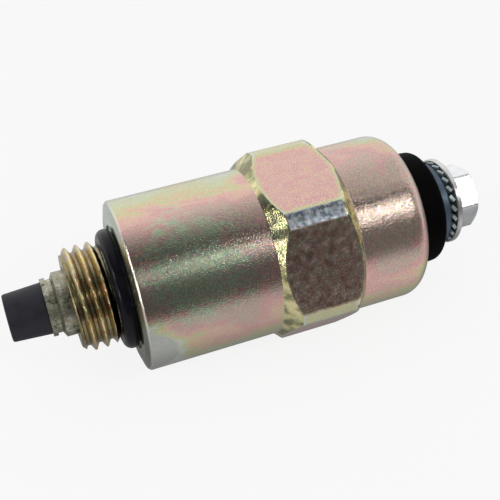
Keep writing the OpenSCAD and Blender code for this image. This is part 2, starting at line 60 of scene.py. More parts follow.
# Camera of the photograph, in mm, degrees and pixels
CAMERA_AT = (-11.8, -77.6, 86.4)
CAMERA_AZIMUTH = -20.8
CAMERA_ELEVATION = 46.0
HEXAGON_ROLL = 2.3
FOCAL_PIXELS = 885
PHOTO_PIXELS = 500
SENSOR = 36

# Studio: the place along X that its cards and lamps face, the shades of its white, and, in mm, how far
# its lowest card lies over the floor and where the shadow painted on that card fades out
MIDDLE_X = 15
WORLD_AS_LIGHT = 0.48
PAPER = 0.9
PAPER_GLOW = 0.85
CARD_ABOVE_FLOOR = 0.1
DARK_WITHIN = 8
PALE_BEYOND = 21

# Housing
X_NOSE, X_RIM, BAR_R = reach("housing")
X_COIL = reach("bobbin")[0]
RING_FROM, RING_TO, RING_R = reach("mounting_ring")
HEX_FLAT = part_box("housing")[1].z / MM
CHAMBER_R = reach("rear_plate")[2] + 0.05
NECK_R = RING_R - (RING_TO - RING_FROM)
HEX_EDGE_ROUND = 0.12
THREAD_R = 6.9
THREAD_ROOT_R = 6.08
PITCH = 1.5
CREST_AT = -6.32
X_NECK = -1.9
NOSE_BORE_R = 4.55
RECESS = RING_TO
RECESS_R = RING_R + 0.3
BARREL_R = 11.4
SEAT_BEVEL_W = 1.3
SEAT_BEVEL = 0.35
SEAT_CHAMFER = 0.25
X_HEX = 18.0
FRONT_CONE = 1.9
REAR_CONE = 1.6
X_HEX_END = 29.4
REAR_R = 11.5
RIM_R = 2.5
RIM_IN_R = RIM_R - (REAR_R - CHAMBER_R)
RIM_BORE_R = 8.2
X_STOP = 1.5
SOCKET_R = 5.55
SEAL_BORE_R = 6.9
SEAL_DEPTH = 1.4

# Terminal
X_STUD, X_STUD_END, STUD_HEAD_R = reach("terminal_stud")
STUD_R = 2.45
STUD_ROOT_R = 2.03
STUD_PITCH = 0.8
STUD_HEAD_T = 1.3
STUD_CHAMFER = 0.4
STUD_THREAD_L = 8
X_NUT, X_NUT_END = reach("terminal_nut")[:2]
NUT_FLAT = 4.0
NUT_CORNER_CUT = 0.03
NUT_EDGE_ROUND = 0.1
NUT_FACE_R = 3.9
NUT_CHAMFER = 30
NUT_TURN = 35
NUT_BORE_R = 2.5
NUT_SINK = 0.35

# Coil
WINDING_WIRE_D = 0.5

# Meshes
ARC_STEPS = 4
SHARP_FROM = 32


def softened(points):
    """A closed chain in which a point that has a third value, a radius, becomes an arc of that radius.

    A fourth value is the number of steps in that arc, where it isn't ARC_STEPS.
    """
    chain = []
    for i, (x, r, *arc) in enumerate(points):
        corner = Vector((x, r))
        if not arc:
            chain.append((x, r))
            continue
        back = Vector(points[i - 1][:2]) - corner
        on = Vector(points[(i + 1) % len(points)][:2]) - corner
        half = back.angle(on) / 2
        run = min(arc[0] / math.tan(half), 0.49 * back.length, 0.49 * on.length)
        radius = run * math.tan(half)
        start = corner + run * back.normalized()
        end = corner + run * on.normalized()
        centre = corner + (back.normalized() + on.normalized()).normalized() * radius / math.sin(half)
        spoke = start - centre
        turn = math.copysign(math.pi - 2 * half, spoke.cross(end - centre))
        count = arc[1] if len(arc) > 1 else ARC_STEPS
        for k in range(count + 1):
            a = turn * k / count
            chain.append((
                centre.x + spoke.x * math.cos(a) - spoke.y * math.sin(a),
                centre.y + spoke.x * math.sin(a) + spoke.y * math.cos(a),
            ))
    return chain


def even_angles(count):
    """So many angles round the axis, in radians from +Y towards +Z."""
    return [2 * math.pi * i / count for i in range(count)]


def hexagon_angles(edge, coarse=1.5, fine=0.3, zone=1.6, turn=0):
    """Angles round a hexagon, closer together at its edges, which lie edge degrees from each flat's middle."""
    offsets = []
    a = -30.0
    while a < 30 - fine:
        offsets.append(a)
        near_edge = abs(abs(a + coarse / 2) - edge) < zone
        a += fine if near_edge else coarse
    return [math.radians(turn + 30 + 60 * side + a) for side in range(6) for a in offsets]


def hexagon_radius(angle, flat, bar, rounding, turn=0):
    """Radius at an angle of a hexagon on a round bar, with the edges between them rounded."""
    off = (math.degrees(angle) - turn) % 60 - 30
    side = flat / math.cos(math.radians(off))
    share = max(rounding - abs(side - bar), 0) / rounding
    return min(side, bar) - share * share * rounding / 4


def thread_height(turns):
    """Height of a thread's flank, from 0 at the root to 1 at the crest, so many turns from a crest."""
    crest, root, blur = 0.07, 0.12, 0.03
    total = 0
    for k in (-1, -0.5, 0, 0.5, 1):
        t = turns + k * blur
        off = abs(t - round(t))
        total += min(max((0.5 - root - off) / (0.5 - root - crest), 0), 1)
    return total / 5


def lathe(name, angles, chain_at, closed=True):
    """A mesh whose chain of (x, r) points is laid at each angle round the X axis.

    chain_at(angle) gives the chain there, always with as many points. A chain that isn't closed starts
    and ends on the axis.
    """
    chains = [chain_at(a) for a in angles]
    count = len(chains[0])
    points = [
        (x * MM, r * math.cos(a) * MM, r * math.sin(a) * MM)
        for a, chain in zip(angles, chains)
        for x, r in chain
    ]
    faces = []
    for j in range(len(angles)):
        here, there = j * count, (j + 1) % len(angles) * count
        for i in range(count if closed else count - 1):
            k = (i + 1) % count
            faces.append((here + i, here + k, there + k, there + i))
    mesh = bpy.data.meshes.new(name)
    mesh.from_pydata(points, [], faces)
    shape = bmesh.new()
    shape.from_mesh(mesh)
    bmesh.ops.remove_doubles(shape, verts=shape.verts, dist=1e-8)
    bmesh.ops.dissolve_degenerate(shape, edges=shape.edges, dist=1e-9)
    bmesh.ops.recalc_face_normals(shape, faces=shape.faces)
    shape.to_mesh(mesh)
    shape.free()
    mesh.shade_smooth()
    mesh.set_sharp_from_angle(angle=math.radians(SHARP_FROM))
    piece = bpy.data.objects.new(name, mesh)
    bpy.context.scene.collection.objects.link(piece)
    return piece


def weighted(piece):
    """Shades a piece by the size of its faces, so that flats stay flat beside rounded edges."""
    normals = piece.modifiers.new("flat_faces", "WEIGHTED_NORMAL")
    normals.keep_sharp = True
    return piece


def helix_rows(x_from, x_to, crest_r, root_r, pitch, crest_at, angle, limit, step=0.06):
    """Chain of a thread at one angle. limit(x) is the largest radius that its ends leave free."""
    rows = []
    count = round((x_to - x_from) / step)
    for i in range(count + 1):
        x = x_from + (x_to - x_from) * i / count
        turns = (x - crest_at) / pitch - angle / (2 * math.pi)
        r = root_r + (crest_r - root_r) * thread_height(turns)
        rows.append((x, min(r, limit(x))))
    return rows


def nose_limit(x):
    """Largest radius of the nose thread: its lead-in at the end face, and its runout at the neck."""
    depth = THREAD_R - THREAD_ROOT_R
    runout = NECK_R + (X_NECK - x) * (THREAD_R - NECK_R) / depth
    return min(THREAD_R, THREAD_ROOT_R + x - X_NOSE, runout)


def housing_chain(angle):
    """The housing's section at an angle: thread, neck, barrel, hexagon and shell, then the inside."""
    hexagon = hexagon_radius(angle, HEX_FLAT, BAR_R, HEX_EDGE_ROUND)
    x_front = X_HEX + FRONT_CONE * (hexagon - BARREL_R) / (BAR_R - BARREL_R)
    x_rear = X_HEX_END - REAR_CONE * (hexagon - REAR_R) / (BAR_R - REAR_R)
    rim = [
        (X_RIM - RIM_R + RIM_R * math.sin(a), REAR_R - RIM_R + RIM_R * math.cos(a))
        for a in (math.radians(6 * k) for k in range(16))
    ]
    thread = helix_rows(X_NOSE, X_NECK, THREAD_R, THREAD_ROOT_R, PITCH, CREST_AT, angle, nose_limit)
    return softened([
        (X_NOSE, NOSE_BORE_R, 0.15, 2),
        (X_NOSE, THREAD_ROOT_R),
        *thread[1:-1],
        (X_NECK, NECK_R),
        (RECESS, NECK_R),
        (RECESS, RECESS_R),
        (0, RECESS_R, 0.06, 2),
        (0, BARREL_R - SEAT_CHAMFER - SEAT_BEVEL_W, 0.8),
        (SEAT_BEVEL, BARREL_R - SEAT_CHAMFER, 0.08),
        (SEAT_BEVEL + SEAT_CHAMFER, BARREL_R, 0.2),
        (X_HEX, BARREL_R, 0.2),
        (x_front, hexagon, 0.25),
        (x_front + 1.2, hexagon),
        (x_rear - 1.2, hexagon),
        (x_rear, hexagon, 0.25),
        (X_HEX_END, REAR_R, 0.15),
        *rim,
        (X_RIM, RIM_BORE_R, 0.2),
        (X_RIM - RIM_R + RIM_IN_R, RIM_BORE_R),
        (X_RIM - RIM_R + RIM_IN_R, CHAMBER_R, RIM_IN_R),
        (X_COIL, CHAMBER_R, 0.2),
        (X_COIL, SEAL_BORE_R),
        (X_COIL - SEAL_DEPTH, SEAL_BORE_R),
        (X_COIL - SEAL_DEPTH, SOCKET_R),
        (X_STOP, SOCKET_R),
        (X_STOP, NOSE_BORE_R),
    ])


def stud_chain(angle):
    """The stud's section at an angle: head, plain neck, and the thread up to its chamfered end."""
    def limit(x):
        return min(STUD_R, STUD_R - STUD_CHAMFER + X_STUD_END - x)

    x_thread = X_STUD_END - STUD_THREAD_L
    thread = helix_rows(x_thread, X_STUD_END, STUD_R, STUD_ROOT_R, STUD_PITCH, x_thread, angle, limit, 0.05)
    head = softened([
        (X_STUD, 0.5),
        (X_STUD, STUD_HEAD_R, 0.2),
        (X_STUD + STUD_HEAD_T, STUD_HEAD_R, 0.2),
        (X_STUD + STUD_HEAD_T, STUD_R),
    ])
    return [(X_STUD, 0), *head, *thread, (X_STUD_END, STUD_ROOT_R - 0.3), (X_STUD_END, 0)]


def nut_chain(angle):
    """The nut's section at an angle: chamfered corners, and a countersunk bore."""
    corner = NUT_FLAT / math.cos(math.radians(30)) - NUT_CORNER_CUT
    r = hexagon_radius(angle, NUT_FLAT, corner, NUT_EDGE_ROUND, NUT_TURN)
    drop = (r - NUT_FACE_R) * math.tan(math.radians(NUT_CHAMFER))
    return softened([
        (X_NUT, NUT_FACE_R),
        (X_NUT + drop, r, 0.08, 3),
        (X_NUT_END - drop, r, 0.08, 3),
        (X_NUT_END, NUT_FACE_R),
        (X_NUT_END, NUT_BORE_R + NUT_SINK),
        (X_NUT_END - NUT_SINK, NUT_BORE_R),
        (X_NUT + NUT_SINK, NUT_BORE_R),
        (X_NUT, NUT_BORE_R + NUT_SINK),
    ])


# Stretch of a reflection across the marks of a lathe
TURNED = 0.3


class Finish:
    """One material, whose nodes are added by short calls."""

    def __init__(self, name):
        self.material = bpy.data.materials.new(name)
        self.material.use_nodes = True
        self.tree = self.material.node_tree
        self.tree.nodes.clear()
        place = self.add("ShaderNodeTexCoord").outputs["Object"]
        self.place = self.scaled(place, 1 / MM)

    def add(self, kind, inputs=None, **settings):
        node = self.tree.nodes.new(kind)
        for key, value in settings.items():
            setattr(node, key, value)
        for key, value in (inputs or {}).items():
            if isinstance(value, bpy.types.NodeSocket):
                self.tree.links.new(value, node.inputs[key])
            else:
                node.inputs[key].default_value = value
        return node

    def math(self, operation, a, b=0.0):
        return self.add("ShaderNodeMath", {0: a, 1: b}, operation=operation).outputs[0]

    def sum(self, first, *others):
        for value in others:
            first = self.math("ADD", first, value)
        return first

    def product(self, first, *others):
        for value in others:
            first = self.math("MULTIPLY", first, value)
        return first

    def rest(self, share):
        return self.math("SUBTRACT", 1.0, share)

    def vector(self, operation, a, b):
        return self.add("ShaderNodeVectorMath", {0: a, 1: b}, operation=operation).outputs[0]

    def scaled(self, vector, factor):
        return self.add("ShaderNodeVectorMath", {0: vector, "Scale": factor}, operation="SCALE").outputs[0]

    def part(self, index):
        """The place along one axis: 0 for X, 1 for Y and 2 for Z."""
        return self.add("ShaderNodeSeparateXYZ", {0: self.place}).outputs[index]

    def measure(self, operation, vector):
        """A number that the place makes with a vector."""
        node = self.add("ShaderNodeVectorMath", {0: self.place, 1: vector}, operation=operation)
        return node.outputs["Value"]

    def towards(self, way):
        """How far the place lies from the origin in one direction."""
        return self.measure("DOT_PRODUCT", way)

    def distance(self, point):
        return self.measure("DISTANCE", point)

    def noise(self, scale, detail=2.0, vector=None, distortion=0.0):
        """Noise between about 0.3 and 0.7, whose grains are about 1 / scale mm."""
        inputs = {"Vector": vector or self.place, "Scale": scale, "Detail": detail, "Distortion": distortion}
        return self.add("ShaderNodeTexNoise", inputs).outputs["Fac"]

    def spread(self, value, low, high, to_low=0.0, to_high=1.0, clamp=True):
        inputs = {0: value, 1: low, 2: high, 3: to_low, 4: to_high}
        return self.add("ShaderNodeMapRange", inputs, clamp=clamp).outputs[0]

    def wave(self, value, height, clamp=True):
        """A noise's value as a rise or fall of up to height. Without the clamp, its rare peaks go further."""
        return self.spread(value, 0.3, 0.7, -height, height, clamp)

    def stretched(self, along, across, up):
        """The place with each of its parts scaled."""
        return self.vector("MULTIPLY", self.place, (along, across, up))

    def radius(self):
        """Distance from the X axis."""
        flat = self.stretched(0, 1, 1)
        return self.add("ShaderNodeVectorMath", {0: flat}, operation="LENGTH").outputs["Value"]

    def mean(self, share, value, other):
        """A value that gives way to another as share goes from 0 to 1."""
        node = self.add("ShaderNodeMix", {"Factor": share, "A": value, "B": other}, data_type="FLOAT")
        return node.outputs[0]

    def blend(self, share, colour, other):
        """A colour that gives way to another as share goes from 0 to 1."""
        node = self.add("ShaderNodeMix", {"Factor": share}, data_type="RGBA")
        for socket, value in ((node.inputs[6], colour), (node.inputs[7], other)):
            if isinstance(value, bpy.types.NodeSocket):
                self.tree.links.new(value, socket)
            else:
                socket.default_value = (*value, 1)
        return node.outputs[2]

    def polar(self, along, out, round_):
        """The place as (x, radius, angle), each stretched, for marks that run round a turned piece."""
        angle = self.math("ARCTAN2", self.part(2), self.part(1))
        return self.add("ShaderNodeCombineXYZ", {
            0: self.product(self.part(0), along),
            1: self.product(self.radius(), out),
            2: self.product(angle, round_),
        }).outputs[0]

    def ramp(self, value, stops):
        """A colour along (place, (r, g, b)) stops."""
        node = self.add("ShaderNodeValToRGB", {0: value})
        band = node.color_ramp
        while len(band.elements) < len(stops):
            band.elements.new(0.5)
        for element, (at, colour) in zip(band.elements, stops):
            element.position = at
            element.color = (*colour, 1)
        return node.outputs[0]

    def tinted(self, colour, value, low, high):
        """A colour made lighter or darker where value goes from 0 to 1."""
        return self.scaled(colour, self.spread(value, 0.3, 0.7, low, high))

    def bump(self, height, depth, after=None):
        inputs = {"Height": height, "Distance": depth * MM, "Strength": 1.0}
        if after is not None:
            inputs["Normal"] = after
        return self.add("ShaderNodeBump", inputs).outputs[0]

    def around(self):
        """Direction of a lathe's marks, round the X axis."""
        return self.add("ShaderNodeTangent", direction_type="RADIAL", axis="X").outputs[0]

    def surface(self, **sockets):
        names = {key.replace("_", " "): value for key, value in sockets.items()}
        return self.finished(self.add("ShaderNodeBsdfPrincipled", names))

    def finished(self, shader):
        out = self.add("ShaderNodeOutputMaterial")
        self.tree.links.new(shader.outputs[0], out.inputs[0])
        return self.material


# Colours of the zinc's film as it thickens
ASH = (0.67, 0.68, 0.62)
PALE_GREEN = (0.60, 0.64, 0.46)
YELLOW_GREEN = (0.62, 0.60, 0.36)
TAN = (0.71, 0.55, 0.38)
PINK = (0.74, 0.49, 0.42)
ROSE = (0.70, 0.43, 0.40)
UMBER = (0.60, 0.47, 0.40)
FILM_STOPS = [
    (0.0, ASH), (0.2, PALE_GREEN), (0.41, YELLOW_GREEN), (0.54, TAN), (0.66, PINK), (0.83, ROSE), (1.0, UMBER),
]

# Its other colours, where it is green, bare or golden, and its painted shade, highlights and glint
MOSS = (0.50, 0.62, 0.44)
BARE = (0.52, 0.54, 0.50)
EDGE_HIGHLIGHT = (0.78, 0.78, 0.70)
STRIP_STOPS = [(0.36, (0.15, 0.17, 0.20)), (0.5, (0.36, 0.40, 0.44)), (0.64, (0.58, 0.63, 0.67))]
FRONT_FLAT_SHADE_STOPS = [
    (0.36, (0.28, 0.18, 0.15)), (0.48, (0.50, 0.33, 0.28)),
    (0.55, (0.38, 0.36, 0.26)), (0.64, (0.74, 0.54, 0.48)),
]
CONE_GLINT_STOPS = [(0.42, (0.16, 0.16, 0.09)), (0.52, (0.56, 0.54, 0.26)), (0.62, (0.95, 0.82, 0.44))]
SEAT_SHADE_STOPS = [(0.0, (0.09, 0.10, 0.06)), (0.5, (0.20, 0.19, 0.13)), (0.85, (0.60, 0.68, 0.60))]
GOLD = (0.95, 0.74, 0.30)
OLIVE = (0.54, 0.54, 0.28)
STRAW = (0.90, 0.86, 0.60)
RUST = (0.62, 0.34, 0.24)
COPPERY = (0.80, 0.46, 0.38)
THREAD_STOPS = [
    (0.34, RUST), (0.42, GOLD), (0.48, OLIVE), (0.53, STRAW), (0.58, COPPERY), (0.64, GOLD), (0.7, RUST),
]

# Where the zinc's marks are, in mm, and the directions that they face
HUNG_UP = (0, -0.64, 0.77)
STRIP_OUT = (0, -0.5, 0.866)
FRONT_FLAT_OUT = (0, -0.866, 0.5)
PATCH_AT = (-0.3, -11.4, -0.6)
PATCH_R = 4.0
MOSS_AT = (8.0, -7.3, 8.7)
MOSS_R = 4.0
EDGE = 0.05


class ZincFinish(Finish):
    """Yellow iridescent zinc on turned steel, whose colour follows the thickness of its film.

    The film is thickest on the side that hung uppermost in the bath, thin at its edges, and missing in a patch.
    The milled flats took it evenly, the strips between them hardly at all, and on the thread it is golden.
    """

    def __init__(self, name):
        super().__init__(name)
        self.along = self.part(0)
        self.out = self.radius()
        self.clouds = self.noise(0.2, 2.0, self.stretched(0.55, 1.0, 1.0), 0.7)
        self.wisps = self.noise(1.0, 3.0, self.stretched(0.6, 1.0, 1.0))
        self.hung = self.math("ABSOLUTE", self.math("DIVIDE", self.towards(HUNG_UP), self.out))
        self.patch = self.sum(self.distance(PATCH_AT), self.wave(self.clouds, 0.7))

        # Shares, from 0 to 1, of the milled flats and the strips between them, the cones, the shell and the thread
        front, rear = self.past_cone(1, X_HEX, BARREL_R), self.past_cone(-1, X_HEX_END, REAR_R)
        self.inward = self.math("MINIMUM", front, rear)
        self.milled = self.spread(self.inward, 0.0, 0.12)
        self.shell = self.spread(self.along, X_HEX_END - EDGE, X_HEX_END)
        self.cone = self.product(
            self.spread(self.along, X_HEX - EDGE, X_HEX + EDGE), self.rest(self.shell), self.rest(self.milled),
        )
        self.strip = self.product(self.milled, self.spread(self.towards(STRIP_OUT), BAR_R - 0.14, BAR_R - 0.1))
        flat = self.spread(self.towards(FRONT_FLAT_OUT), HEX_FLAT - 0.06, HEX_FLAT - 0.03)
        self.front_flat = self.product(self.milled, flat)
        self.thread = self.spread(self.along, X_NECK - 0.1, X_NECK, 1.0, 0.0)

    def past_cone(self, way, x, radius):
        """How far the place lies past the hexagon's cone, at 45 degrees to the axis, from x and radius."""
        run = self.math("MULTIPLY", self.math("SUBTRACT", self.along, x), way)
        return self.math("SUBTRACT", run, self.math("SUBTRACT", self.out, radius))

    def film(self):
        """Thickness of the film, from 0 to 1."""
        flutter = self.wave(self.wisps, 0.1, clamp=False)
        near_rim = self.sum(self.along, self.wave(self.wisps, 3.0))
        turned = self.sum(
            self.hung, self.wave(self.clouds, 0.34, clamp=False), flutter,
            self.spread(self.along, 1.0, 12.0, -0.16, 0.0),
            self.spread(self.along, X_HEX_END - 1, X_HEX_END, 0.0, 0.2),
            self.spread(near_rim, 34, 39, 0.0, -0.34),
        )
        milled = self.sum(
            self.spread(self.inward, 0.15, 0.6, 0.3, 0.7),
            self.spread(self.out, 12.95, 13.15, 0.0, -0.34), flutter,
        )
        film = self.mean(self.milled, turned, milled)
        film = self.mean(self.cone, film, self.spread(self.wisps, 0.3, 0.7, 0.2, 0.54))
        return self.sum(film, self.spread(self.patch, PATCH_R + 0.4, PATCH_R + 1.8, -0.5, 0.0))

    def colour(self):
        """The film's colour and its patches and strips, and painted light: highlights along the edges,
        glint on the cone, and shade on the front flat, the seat and the thread's roots.
        """
        colour = self.ramp(self.film(), FILM_STOPS)
        moss = self.sum(self.distance(MOSS_AT), self.wave(self.wisps, 3.0))
        colour = self.blend(self.spread(moss, MOSS_R, 2 * MOSS_R, 0.85, 0.0), colour, MOSS)
        colour = self.blend(self.spread(self.patch, PATCH_R, PATCH_R + 0.5, 1.0, 0.0), colour, BARE)
        colour = self.blend(self.strip, colour, self.ramp(self.noise(1.8, 3.0), STRIP_STOPS))
        # Painted shade: the flat that faces the front is made darker, in mottled brown.
        front_flat_shade = self.ramp(self.noise(1.1, 5.0), FRONT_FLAT_SHADE_STOPS)
        colour = self.blend(self.product(self.front_flat, 0.85), colour, front_flat_shade)

        # Painted highlights: pale lines along the edges of the flats and on the seat's chamfer.
        flat_edge_highlights = self.product(self.milled, self.spread(self.inward, 0.08, 0.18, 0.4, 0.0))
        seat_edge_highlight = self.product(
            self.spread(self.along, 0.52, 0.66, 0.6, 0.0), self.spread(self.along, SEAT_BEVEL - 0.03, 0.42),
        )
        colour = self.blend(self.math("MAXIMUM", flat_edge_highlights, seat_edge_highlight), colour, EDGE_HIGHLIGHT)
        # Painted glint: bright gold and near-black patches round the front cone.
        glints = self.ramp(self.noise(1.0, 2.0, self.polar(0.4, 0.4, 7.0)), CONE_GLINT_STOPS)
        colour = self.blend(self.product(self.cone, 0.75), colour, glints)
        # Painted shade: the seat's face is dark at the bottom and light at the top.
        seat = self.ramp(self.spread(self.part(2), -11, 9), SEAT_SHADE_STOPS)
        colour = self.blend(self.spread(self.along, 0.33, 0.36, 0.85, 0.0), colour, seat)

        # Painted shade: the thread is darker down in its roots.
        painted_root_shade = self.spread(self.out, THREAD_ROOT_R, THREAD_R - 0.15, 0.4, 1.0)
        golden = self.scaled(self.ramp(self.noise(1.3, 3.0), THREAD_STOPS), painted_root_shade)
        return self.blend(self.thread, colour, golden)

    def sparkle(self, colour, speck):
        """A colour with fine flecks in it, partly the grain's own colour and partly painted sparkle, most where
        the film is thick, on the milled flats and on the shell. The shell also gets painted light and shade.
        """
        # Painted sparkle: the flecks are strongest on the upper front side, where the highlights fall.
        sparkle_strength = self.product(self.math("MAXIMUM", self.milled, self.shell), 0.75)
        sparkle_strength = self.math("MAXIMUM", self.spread(self.hung, 0.82, 0.95, 0.25, 1.15), sparkle_strength)
        fleck = self.add("ShaderNodeTexNoise", {"Vector": self.place, "Scale": 5.0, "Detail": 2.0})
        fleck = self.vector("SUBTRACT", fleck.outputs["Color"], (0.5, 0.5, 0.5))
        fleck = self.vector("ADD", self.scaled(fleck, sparkle_strength), (1, 1, 1))
        colour = self.tinted(self.vector("MULTIPLY", colour, fleck), speck, 0.88, 1.12)
        # Painted light and shade: the shell is made lighter low down and darker towards its top.
        return self.scaled(colour, self.mean(self.shell, 1.0, self.spread(self.part(2), 6.5, 10, 1.2, 0.93)))

    def roughness(self):
        marks = self.noise(1.0, 3.0, self.polar(4.0, 4.0, 5.0))
        pits = self.product(self.front_flat, self.spread(self.noise(3.2, 2.0), 0.5, 0.62))
        return self.sum(
            self.spread(marks, 0.3, 0.7, 0.16, 0.23), self.product(self.strip, 0.12), self.product(pits, 0.14),
            self.product(self.thread, -0.06),
        )


def zinc_passivation():
    """The housing's zinc: its colour, its sparkle, and fine grain under both."""
    f = ZincFinish("yellow_zinc")
    speck = f.noise(8.0, 1.0)
    normal = f.bump(f.noise(5.0, 2.0), 0.02)
    return f.surface(
        Base_Color=f.sparkle(f.colour(), speck), Metallic=1.0, Roughness=f.roughness(),
        Normal=f.bump(speck, 0.02, after=normal),
        Anisotropic=TURNED, Anisotropic_Rotation=0.25, Tangent=f.around(),
    )


def shades(colour, low, high, start=0.3, end=0.7):
    """Ramp stops from a darker shade of a colour to a lighter one."""
    return [(at, [min(c * k, 1) for c in colour]) for at, k in ((start, low), (end, high))]


def metal(name, colour, roughness, marks_per_mm=4.0, depth=0.004, metallic=1.0):
    """Turned or drawn metal with fine marks round the axis."""
    f = Finish(name)
    marks = f.noise(1.0, 3.0, f.polar(marks_per_mm, marks_per_mm, 0.8))
    grain = f.noise(3.0, 3.0)
    return f.surface(
        Base_Color=f.ramp(f.noise(0.6), shades(colour, 0.9, 1.1)), Metallic=metallic,
        Roughness=f.spread(grain, 0.3, 0.7, roughness - 0.06, roughness + 0.06),
        Normal=f.bump(grain, depth, after=f.bump(marks, depth)),
        Anisotropic=TURNED, Anisotropic_Rotation=0.25, Tangent=f.around(),
    )


def stained(name, roughness):
    """Thin zinc on iron, stained by fuel in grey, green and brown."""
    f = Finish(name)
    stain = f.sum(f.noise(0.9, 3.0), f.wave(f.noise(3.5, 2.0), 0.1))
    shade = f.ramp(stain, [
        (0.34, (0.13, 0.12, 0.09)), (0.42, (0.30, 0.33, 0.22)), (0.5, (0.46, 0.47, 0.38)),
        (0.56, (0.36, 0.28, 0.20)), (0.62, (0.50, 0.52, 0.42)), (0.7, (0.72, 0.72, 0.62)),
    ])
    marks = f.noise(1.0, 3.0, f.polar(5.0, 5.0, 0.8))
    return f.surface(
        Base_Color=shade, Metallic=1.0, Roughness=f.spread(stain, 0.3, 0.7, roughness + 0.08, roughness - 0.08),
        Normal=f.bump(f.noise(3.0, 3.0), 0.03, after=f.bump(marks, 0.008)),
    )


def rubber(name, colour, roughness, specular=0.35):
    """Moulded rubber: fine matte grain, and slight bloom."""
    f = Finish(name)
    bloom = f.noise(0.5, 3.0)
    return f.surface(
        Base_Color=f.ramp(bloom, shades(colour, 0.85, 1.25, 0.35, 0.65)),
        Roughness=f.spread(bloom, 0.3, 0.7, roughness - 0.07, roughness + 0.07),
        Normal=f.bump(f.noise(7.0, 2.0), 0.01), Specular_IOR_Level=specular,
    )


def plastic(name, colour, roughness, grain_scale=3.0, specular=0.4):
    """Moulded plastic with a faint grain and slow changes of shade."""
    f = Finish(name)
    grain = f.noise(grain_scale, 3.0)
    return f.surface(
        Base_Color=f.ramp(f.noise(0.3, 2.0), shades(colour, 0.88, 1.12)),
        Roughness=f.spread(grain, 0.3, 0.7, roughness - 0.08, roughness + 0.08),
        Normal=f.bump(grain, 0.008), Specular_IOR_Level=specular,
    )


def wound_wire():
    """Enamelled copper wire in even turns, side by side along the axis."""
    f = Finish("copper_winding")
    turns = f.math("SINE", f.product(f.part(0), 2 * math.pi / WINDING_WIRE_D))
    shade = f.ramp(f.noise(1.5), [(0.3, (0.55, 0.2, 0.09)), (0.7, (0.75, 0.32, 0.15))])
    return f.surface(
        Base_Color=shade, Metallic=1.0, Roughness=f.spread(f.noise(4.0), 0.3, 0.7, 0.22, 0.34),
        Normal=f.bump(turns, 0.1), Coat_Weight=0.4, Coat_Roughness=0.15,
    )


def paint(node, material):
    """Gives a CAD node's slots one material."""
    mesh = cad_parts[node].data
    if not mesh.materials:
        mesh.materials.append(material)
    for i in range(len(mesh.materials)):
        mesh.materials[i] = material


def stand_in(piece, node, body, material):
    """Lets a piece made here stand for a CAD node."""
    piece.data.materials.append(material)
    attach(piece, body)
    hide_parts(node)
    return piece


def build_pieces():
    """The pieces that are shaped here, and the finish of every piece."""
    zinc = zinc_passivation()
    bright = metal("bright_zinc", (0.86, 0.88, 0.90), 0.3)
    blue = metal("blue_steel", (0.10, 0.14, 0.19), 0.42, metallic=0.6)
    teeth = metal("tooth_steel", (0.36, 0.43, 0.45), 0.36, metallic=0.5)
    pale = metal("pale_steel", (0.72, 0.72, 0.70), 0.35)
    green = stained("plunger_zinc", 0.42)
    iron = metal("turned_iron", (0.45, 0.46, 0.48), 0.35)
    brass = metal("drawn_brass", (0.78, 0.57, 0.25), 0.28)
    wire = metal("spring_wire", (0.62, 0.62, 0.65), 0.25, 1.0, 0.002)
    ring = rubber("seal_rubber", (0.006, 0.006, 0.010), 0.24, specular=0.14)
    tip = rubber("tip_rubber", (0.017, 0.017, 0.026), 0.5)
    black = plastic("black_phenolic", (0.0015, 0.0015, 0.002), 0.6, specular=0.03)
    nylon = plastic("natural_nylon", (0.62, 0.55, 0.40), 0.45)
    tape = plastic("polyester_tape", (0.55, 0.38, 0.05), 0.3, 1.5)
    sleeve = plastic("red_sleeve", (0.45, 0.03, 0.02), 0.4)
    copper = wound_wire()

    angles = hexagon_angles(math.degrees(math.acos(HEX_FLAT / BAR_R)))
    housing = lathe("housing_body", angles, housing_chain)
    stand_in(weighted(housing), "housing", "solenoid_body", zinc)
    stud = lathe("stud_body", even_angles(72), stud_chain, closed=False)
    stand_in(stud, "terminal_stud", "solenoid_body", bright)
    nut = lathe("nut_body", hexagon_angles(29, 3.0, 0.4, 2.0, NUT_TURN), nut_chain)
    stand_in(weighted(nut), "terminal_nut", "solenoid_body", bright)

    for material, nodes in [
        (ring, ["mounting_ring", "tube_seal", "pole_seal", "plate_seal", "stud_seal"]),
        (tip, ["valve_tip"]),
        (green, ["plunger"]),
        (wire, ["return_spring"]),
        (brass, ["air_gap_shim", "guide_tube", "terminal_tag"]),
        (iron, ["pole_core", "rear_plate"]),
        (nylon, ["bobbin"]),
        (copper, ["coil_winding", "live_lead", "earth_lead"]),
        (tape, ["coil_tape"]),
        (sleeve, ["lead_sleeve"]),
        (black, ["insulator_cap"]),
        (blue, ["base_washer"]),
        (teeth, ["toothed_washer"]),
        (pale, ["outer_washer"]),
    ]:
        for node in nodes:
            paint(node, material)


def aim(obj, at, to):
    """Stands a camera, lamp or card at a place in mm, facing another."""
    obj.location = Vector(at) * MM
    obj.rotation_mode = "QUATERNION"
    obj.rotation_quaternion = (Vector(to) - Vector(at)).to_track_quat("-Z", "Y")


def direction(azimuth, elevation):
    """Unit vector towards a place at that azimuth and elevation. Azimuth 0 is -Y, and 90 is +X."""
    a, e = math.radians(azimuth), math.radians(elevation)
    return Vector((math.sin(a) * math.cos(e), -math.cos(a) * math.cos(e), math.sin(e)))


def build_camera():
    camera = bpy.data.objects.new("camera", bpy.data.cameras.new("camera"))
    bpy.context.scene.collection.objects.link(camera)
    camera.data.sensor_width = SENSOR
    camera.data.lens = SENSOR * FOCAL_PIXELS / PHOTO_PIXELS
    camera.data.clip_start = 0.005
    look = Vector(CAMERA_AT) - 100 * direction(CAMERA_AZIMUTH, CAMERA_ELEVATION)
    aim(camera, CAMERA_AT, look)
    roll = Quaternion((1, 0, 0), -math.radians(HEXAGON_ROLL))
    camera.location.rotate(roll)
    camera.rotation_quaternion = roll @ camera.rotation_quaternion
    bpy.context.scene.camera = camera


